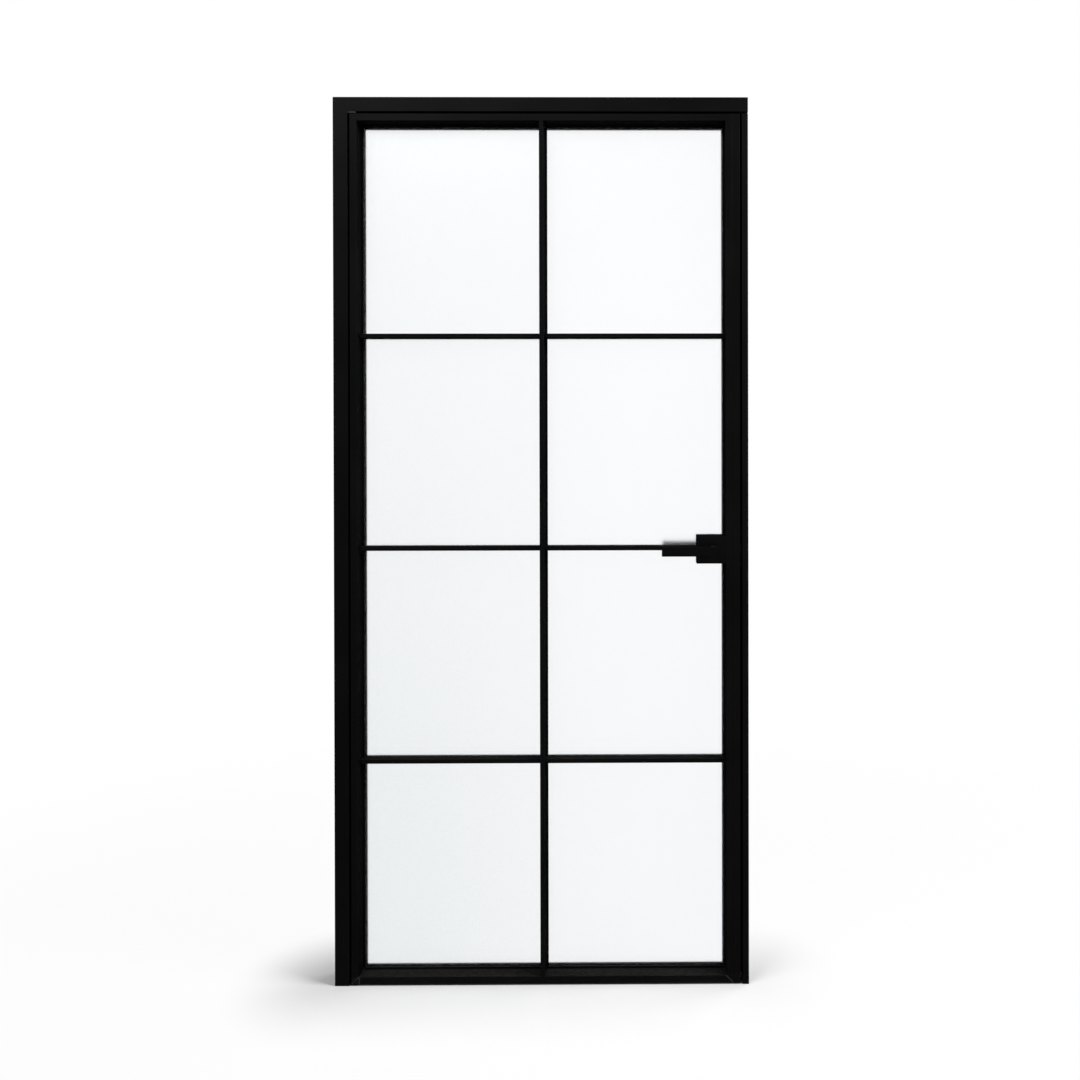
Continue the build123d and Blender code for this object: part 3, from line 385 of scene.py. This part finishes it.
# Brush under the leaf
# A carrier strip with black nylon pile in the bottom rail's slot, which closes the gap at the
# floor. Each tuft is a leaning blade of its own length, so the edge is ragged as cut pile is.

random.seed(41)
brush_low, brush_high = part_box("bottom_brush")
brush_end_room = 0.001
pile_root_depth = 0.0012
pile_rows = (-0.0011, 0.0, 0.0011)
row_offset = 0.33
root_scatter = (0.0002, 0.0003)
tip_lean = (0.0007, 0.0004)
tip_heights = (0.0006, 0.0012)
blade_gap = 0.0011
blade_half = 0.00028
blade_count = int((brush_high.x - brush_low.x - 2 * brush_end_room) / blade_gap)
blade_points = []
blade_faces = []


def scattered(reach):
    """A step to one side or the other, at most as long as the reach."""
    return random.uniform(-reach, reach)


for row, row_y in enumerate(pile_rows):
    for count in range(blade_count):
        along = brush_low.x + brush_end_room + blade_gap * (count + row_offset * row)
        root_x = along + scattered(root_scatter[0])
        root_y = row_y + scattered(root_scatter[1])
        root = Vector((root_x, root_y, rail_low.z + pile_root_depth))
        tip_x = root.x + scattered(tip_lean[0])
        tip_y = root.y + scattered(tip_lean[1])
        tip = Vector((tip_x, tip_y, random.uniform(*tip_heights)))
        start = len(blade_points)
        for dx, dy in ((-1, -1), (1, -1), (0, 1)):
            blade_points.append(root + Vector((dx, dy, 0)) * blade_half)
        blade_points.append(tip)
        blade_faces.append((start, start + 2, start + 1))
        blade_faces += [(start + a, start + b, start + 3) for a, b in ((0, 1), (1, 2), (2, 0))]


def meshed(name, points, faces, material):
    """A mesh in one material, from its points and faces."""
    mesh = bpy.data.meshes.new(name)
    mesh.from_pydata([tuple(point) for point in points], [], faces)
    mesh.update()
    mesh.materials.append(material)
    return mesh


def placed(name, data):
    """Puts a mesh, a lamp or the camera into the scene."""
    thing = bpy.data.objects.new(name, data)
    bpy.context.scene.collection.objects.link(thing)
    return thing


pile_finish = rubber("brush_pile_nylon", (0.010, 0.010, 0.010, 1), 0.55)
brush_pile = placed("brush_pile", meshed("brush_pile", blade_points, blade_faces, pile_finish))
wear(["bottom_brush"], pile_finish)
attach(brush_pile, "leaf")


# Glazing bars, caps and beads
# Hollow-nosed T bars, the upright in one length and the cross bars coped to it. Clipped caps
# and beads hold the panes from behind. They carry a thinner coat than the leaf's frame.

bar_coat = powder_coat("bar_powder_coat", leaf_dust_and_light, seed=11.0, roughness=0.42)
wear(
    ["mullion", "left_transoms", "right_transoms", "lock_transom", "bar_caps", "side_beads", "rail_beads"],
    bar_coat,
)


# Panes
# Laminated glass with a satin interlayer, 6 mm thick: bright and even, without a view through.
# It is faintly blue, with a fine grain. Painted shade darkens and greens it towards the lower left, and a
# little at the head.

clear_tint = (0.98, 0.988, 1.0, 1)
shade_tint = (0.82, 0.858, 0.868, 1)
shade_from_right = (0.30, -0.40)
shade_from_top = (2.0, 0.0)
head_darkening = (1.5, 2.1)
satin_per_metre = 420.0
satin_depth = 0.0001


def satin_glass():
    """Glass with painted shade towards the lower left and a little darkening at the head, and speckle that
    grows towards the lower left.
    """
    glass = Finish("satin_laminated_glass")
    x, _, z = glass.place()
    lowness = z.rise(*shade_from_top)
    leftness = x.rise(*shade_from_right)
    grain = glass.grain(satin_per_metre, 3.0)
    drift = glass.grain(6.0, 3.0)
    # Painted shade: the tint darkens and turns greener towards the lower left, and a little at the head.
    film = leftness * (0.34 + lowness * lowness * 0.28) + z.rise(*head_darkening) * 0.10 + (drift - 0.5) * 0.06
    speckle = (grain.rise(0.35, 0.65) - 0.5) * (0.04 + leftness * 0.20 + lowness * 0.24)
    colour = glass.mixed(film + speckle, clear_tint, shade_tint)
    return glass.close(glass.shader(
        Base_Color=colour,
        Roughness=0.34 + (grain - 0.5) * 0.08,
        IOR=1.5,
        Transmission_Weight=1.0,
        Normal=glass.bump(grain, 0.12, satin_depth),
    ))


pane_names = sorted(name for name in nodes if name.startswith("pane_"))
wear(pane_names, satin_glass())


# Glazing tape
# Closed-cell foam tape in strips round every pane, stuck between the fin and the glass and
# between the glass and the beads. Only its edge shows.

wear(["glazing_tape"], rubber("glazing_tape_foam", (0.013, 0.013, 0.013, 1), 0.75))


# Lock box and covers
# Folded steel box in the glass's corner at the lock stile, with a bevelled plate in front and
# a screwed tray behind, all in the leaf's coat but a little smoother.

lock_coat = powder_coat("lock_powder_coat", seed=17.0, roughness=0.34)
wear(["lock_box", "front_cover", "rear_cover"], lock_coat)
wear(["forend", "strike_plate"], powder_coat("edge_plate_coat", seed=19.0, roughness=0.32))


# Latch
# A steel bolt with a bevelled end, coloured near black, in a drawn steel sleeve, whose side just shows in
# the gap at the lock-side post. A zinc-plated hub on the levers' square bar draws it back.

bolt_steel = plated_steel("near_black_latch", (0.014, 0.014, 0.013, 1), 0.28, brushing=(6, 1, 6))
wear(["latch_bolt", "latch_sleeve"], bolt_steel)
wear(["follower", "spindle"], zinc_steel)


# Latch spring
# A compression spring of round zinc-plated wire between the lock box's wall and the bolt's tail. It is as
# long as the gap.

spring_low, spring_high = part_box("latch_spring")
spring_length = spring_high.x - spring_low.x
wire_radius = 0.00045
coil_radius = (spring_high.z - spring_low.z) / 2 - wire_radius
coil_middle = (spring_low.z + spring_high.z) / 2
coil_start = spring_low.x + wire_radius
coil_length = spring_length - 2 * wire_radius
coil_turns = 6
coil_pitch = coil_length / coil_turns
steps_per_turn = 24
ring_count = coil_turns * steps_per_turn + 1
wire_sides = 8


def wire_ring(turned, x):
    """One ring of points round the wire, at an angle of the coil and a place along it."""
    outward = Vector((0, math.cos(turned), math.sin(turned)))
    forward = Vector((coil_pitch / math.tau, -coil_radius * outward.z, coil_radius * outward.y)).normalized()
    across = forward.cross(outward)
    centre = Vector((x, 0, coil_middle)) + outward * coil_radius
    turns = [math.tau * side / wire_sides for side in range(wire_sides)]
    return [centre + (outward * math.cos(a) + across * math.sin(a)) * wire_radius for a in turns]


coil_points = []
coil_faces = []
for count in range(ring_count):
    share = count / (ring_count - 1)
    coil_points += wire_ring(math.tau * coil_turns * share, coil_start + coil_length * share)
for count in range(ring_count - 1):
    for side in range(wire_sides):
        here = count * wire_sides + side
        beside = count * wire_sides + (side + 1) % wire_sides
        coil_faces.append((here, beside, beside + wire_sides, here + wire_sides))
last_ring = (ring_count - 1) * wire_sides
coil_faces.append(tuple(reversed(range(wire_sides))))
coil_faces.append(tuple(range(last_ring, last_ring + wire_sides)))

coil_mesh = meshed("latch_coil", coil_points, coil_faces, zinc_steel)
coil_mesh.polygons.foreach_set("use_smooth", [len(face) == 4 for face in coil_faces])
latch_coil = placed("latch_coil", coil_mesh)
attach(latch_coil, "leaf")
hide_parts("latch_spring")
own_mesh(latch_coil)


# Screws
# Countersunk socket screws of hardened steel in black oxide, at the pivots, the edge plates and
# the covers. The edges of their heads are rubbed bright by the key.

key_rubbed_edge = 0.0003


def black_oxide():
    """Dull black steel, mottled, and brighter on its edges."""
    oxide = Finish("black_oxide_steel")
    mottle = oxide.grain(500.0, 3.0)
    rubbed = oxide.edge(key_rubbed_edge)
    colour = oxide.mixed(mottle, (0.010, 0.010, 0.011, 1), (0.022, 0.021, 0.020, 1))
    return oxide.close(oxide.shader(
        Base_Color=oxide.mixed(rubbed * 0.6, colour, (0.10, 0.10, 0.10, 1)),
        Metallic=0.7,
        Roughness=0.38 + (mottle - 0.5) * 0.2,
        Normal=oxide.bump(mottle, 0.2, drawn_line_depth),
    ))


wear(["frame_screws", "lock_screws", "grub_screws"], black_oxide())


# Levers
# Turned necks in nylon bushes, and flat bar grips with softened edges, coated black. Hands
# have polished the coat on the grips' faces and edges.

hand_rubbed_edge = 0.0012
fine_sand_per_metre = 1000.0
fine_sand_depth = 0.00005


def grip_coat():
    """The black coat where hands hold it: smoother in patches and paler on the edges."""
    coat = Finish("lever_powder_coat")
    sand = coat.grain(fine_sand_per_metre, 3.0)
    hand = coat.grain(24.0, 3.0, stretch=(0.4, 1, 1)).rise(0.35, 0.65)
    rubbed = coat.edge(hand_rubbed_edge)
    colour = coat.mixed(sand * 0.6, coat_dark, coat_pale)
    colour = coat.mixed(rubbed * 0.5, colour, coat_rubbed)
    rough = 0.36 - hand * 0.10 - rubbed * 0.05
    return coat.matt(coat_shine, colour, rough, coat.bump(sand, 0.25, fine_sand_depth))


wear(["front_neck", "rear_neck", "front_grip", "rear_grip"], grip_coat())
wear(["lever_bushes"], black_nylon)


# Floor
# A plain pale studio floor that keeps the door's shadow, and fades into the white round it within a hand's
# breadth or two of the foot. Painted shade turns it near black in the narrow gaps under the leaf and close
# round the frame's foot.

floor_reach = 7.0
floor_drop = 0.0004
door_half_width = 0.5
shadow_width = (0.0, 0.28)
shadow_share = 0.94
far_floor = (0.6, 2.4)
gloss_floor = (0.5, 2.6)
narrow_gap = 0.03
gap_opening = (0.22, 0.48)
gap_shade_colour = (0.02, 0.02, 0.02, 1)
floor_colour = (0.58, 0.58, 0.58, 1)
white = (1, 1, 1, 1)


def looked_at(finish):
    """Whether the camera, a gloss or the glass is looking, as three readings of 0 or 1."""
    kinds = ("Is Camera Ray", "Is Glossy Ray", "Is Transmission Ray")
    return [finish.node("ShaderNodeLightPath", output=kind) for kind in kinds]


def floor_finish():
    """Pale paint for light that falls on the door, and near white for what looks at it."""
    paint = Finish("pale_floor")
    x, y, _ = paint.place()
    beyond = (abs(x) - door_half_width).larger(0.0)
    away = (beyond * beyond + y * y) ** 0.5
    by_eye, by_gloss, by_glass = looked_at(paint)
    lit = away.rise(*shadow_width) * shadow_share + away.rise(*far_floor) * (1 - shadow_share)
    bright = (by_eye * lit).larger(by_gloss * away.rise(*gloss_floor)).larger(by_glass)
    # Painted shade: where little is open above it, as under the leaf, the floor's colour turns near black.
    open_to_light = paint.node(
        "ShaderNodeAmbientOcclusion", {"samples": 8}, {"Distance": narrow_gap}, output=1
    )
    colour = paint.mixed(open_to_light.rise(*gap_opening), gap_shade_colour, floor_colour)
    matt = paint.shader(Base_Color=colour, Roughness=1.0, Specular_IOR_Level=0.0)
    glow = paint.node("ShaderNodeEmission", sockets={"Color": white, "Strength": 1.0})
    return paint.close(paint.node("ShaderNodeMixShader", sockets={0: bright, 1: matt, 2: glow}))


floor_corners = [(x * floor_reach, y * floor_reach, 0) for x, y in ((-1, -1), (1, -1), (1, 1), (-1, 1))]
floor = placed("studio_floor", meshed("studio_floor", floor_corners, [(0, 1, 2, 3)], floor_finish()))
floor.location.z = -floor_drop


# Light
# A soft box high and near at the front left, one farther off at the right and one behind at the
# right, in a white room. The room casts little light, but is white to whatever looks at it.

room_glow = 0.26
room = Finish("white_room", bpy.data.worlds, "ShaderNodeOutputWorld")
by_eye, by_gloss, by_glass = looked_at(room)
seen = by_eye.larger(by_gloss).larger(by_glass)
glow = room_glow + seen * (1 - room_glow)
sky = room.node("ShaderNodeBackground", sockets={"Color": white, "Strength": glow})
bpy.context.scene.world = room.close(sky)


def soft_box(name, place, aim, size, watts):
    """A rectangular lamp that the glass doesn't show."""
    lamp = bpy.data.lights.new(name, "AREA")
    lamp.shape = "RECTANGLE"
    lamp.size, lamp.size_y = size
    lamp.energy = watts
    box = placed(name, lamp)
    box.location = place
    box.rotation_euler = (Vector(aim) - Vector(place)).to_track_quat("-Z", "Y").to_euler()
    box.visible_transmission = False


soft_box("key_light", place=(-1.05, -1.25, 3.3), aim=(-0.1, 0, 1.6), size=(1.6, 1.0), watts=62.0)
soft_box("fill_light", place=(2.3, -0.8, 2.9), aim=(-0.3, 0, 1.6), size=(1.2, 1.2), watts=150.0)
soft_box("back_light", place=(3.2, 1.9, 2.7), aim=(0, 0, 1.1), size=(1.8, 1.8), watts=60.0)


# Camera
# Where the photograph was taken from: right of the door's middle, a little above the lever,
# looking almost square at the leaf.

photo_side = 1080
lens_in_photo_pixels = 948.43
camera_place = (0.3216, -2.3219, 1.30885)
camera_turn = (1.56743, 0.00154, -0.00665)
lens_shift = (-0.130, -0.08518)

camera_data = bpy.data.cameras.new("photo_camera")
camera = placed("photo_camera", camera_data)
camera.location = camera_place
camera.rotation_euler = Euler(camera_turn, "XYZ")
camera_data.sensor_fit = "HORIZONTAL"
camera_data.sensor_width = 36.0
camera_data.lens = lens_in_photo_pixels / photo_side * camera_data.sensor_width
camera_data.shift_x, camera_data.shift_y = lens_shift
bpy.context.scene.camera = camera
bpy.context.scene.view_settings.view_transform = "Standard"
